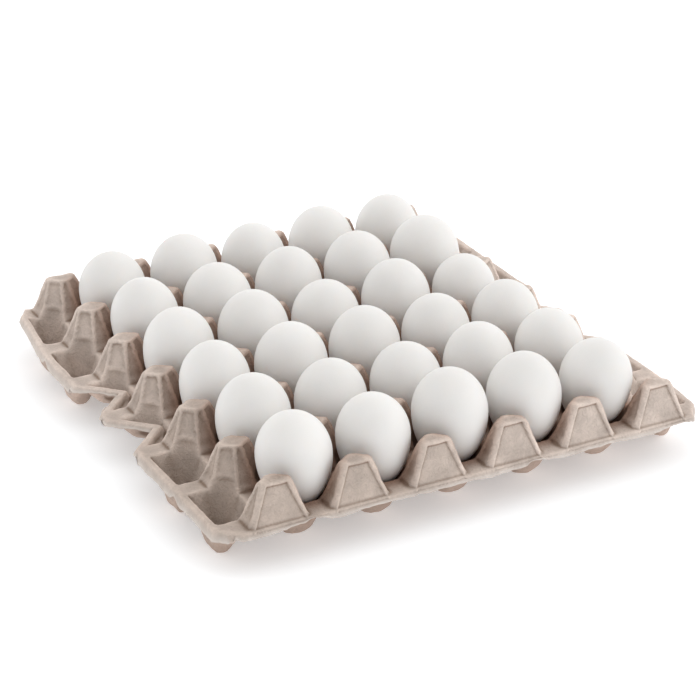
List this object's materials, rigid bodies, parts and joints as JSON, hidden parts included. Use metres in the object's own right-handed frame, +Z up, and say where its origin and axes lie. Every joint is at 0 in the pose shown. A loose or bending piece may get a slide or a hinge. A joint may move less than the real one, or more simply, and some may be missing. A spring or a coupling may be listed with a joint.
{
  "type": "egg tray with eggs",
  "caption": "Open moulded-pulp tray with rows of cups between tapered posts, low rim with finger notches, filled with white eggs standing pointed end down.",
  "frame": {"origin": "middle of the tray's outline, on the surface that the feet of the cups stand on", "axes": "+X along the side of five cups, +Y along the side of six cups away from the front, +Z up"},
  "size_m": [0.305, 0.304, 0.0719],
  "materials": {
    "pulp": "rough moulded pulp",
    "shell": "matt white egg shell"
  },
  "bodies": {
    "root": {"tray": "pulp", "egg_r1_c1": "shell", "egg_r1_c2": "shell", "egg_r1_c3": "shell", "egg_r1_c4": "shell", "egg_r1_c5": "shell", "egg_r2_c1": "shell", "egg_r2_c2": "shell", "egg_r2_c3": "shell", "egg_r2_c4": "shell", "egg_r2_c5": "shell", "egg_r3_c1": "shell", "egg_r3_c2": "shell", "egg_r3_c3": "shell", "egg_r3_c4": "shell", "egg_r3_c5": "shell", "egg_r4_c1": "shell", "egg_r4_c2": "shell", "egg_r4_c3": "shell", "egg_r4_c4": "shell", "egg_r4_c5": "shell", "egg_r5_c1": "shell", "egg_r5_c2": "shell", "egg_r5_c3": "shell", "egg_r5_c4": "shell", "egg_r5_c5": "shell", "egg_r6_c1": "shell", "egg_r6_c2": "shell", "egg_r6_c3": "shell", "egg_r6_c4": "shell", "egg_r6_c5": "shell"}
  },
  "joints": []
}
